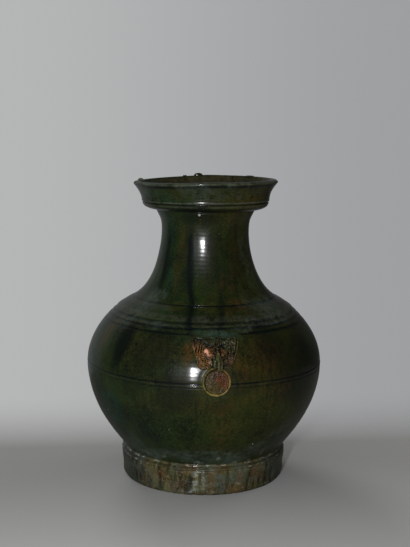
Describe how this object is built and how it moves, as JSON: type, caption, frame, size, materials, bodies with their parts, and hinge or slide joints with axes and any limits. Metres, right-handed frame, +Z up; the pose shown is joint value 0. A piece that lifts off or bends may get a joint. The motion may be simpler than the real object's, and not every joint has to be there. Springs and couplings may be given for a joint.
{
  "type": "hu vase",
  "caption": "Round green-glazed earthenware hu jar with ring foot, concave neck, dished mouth and moulded mask-and-ring ornaments.",
  "frame": {"origin": "centre of the foot's base, on the surface that the jar stands on", "axes": "+Z up along the jar's axis; the front mask faces -Y and the back mask +Y"},
  "size_m": [0.2766, 0.2826, 0.353],
  "materials": {
    "body_glaze": "glossy dark olive-green lead glaze with amber-brown mottling and a faint silvery bloom",
    "foot_glaze": "worn brown and amber glaze, streaked down, with a chipped edge",
    "sprig_glaze": "glossy brown-green glaze, thin on the high relief",
    "luting_slip": "glaze over rough slip, with pale residue",
    "glaze_drop": "thick glassy dark green glaze",
    "kiln_grit": "rough grit stuck in glaze"
  },
  "bodies": {
    "root": {"foot_ring": "foot_glaze", "foot_slip": "luting_slip", "lower_belly": "body_glaze", "belly_slip": "luting_slip", "upper_belly": "body_glaze", "neck_slip": "luting_slip", "neck": "body_glaze", "mouth_slip": "luting_slip", "mouth_cup": "body_glaze", "front_mask": "sprig_glaze", "front_ring": "sprig_glaze", "back_mask": "sprig_glaze", "back_ring": "sprig_glaze", "rim_drop_large": "glaze_drop", "rim_drop_small": "glaze_drop", "rim_drop_thin": "glaze_drop", "rim_grit": "kiln_grit"}
  },
  "joints": []
}
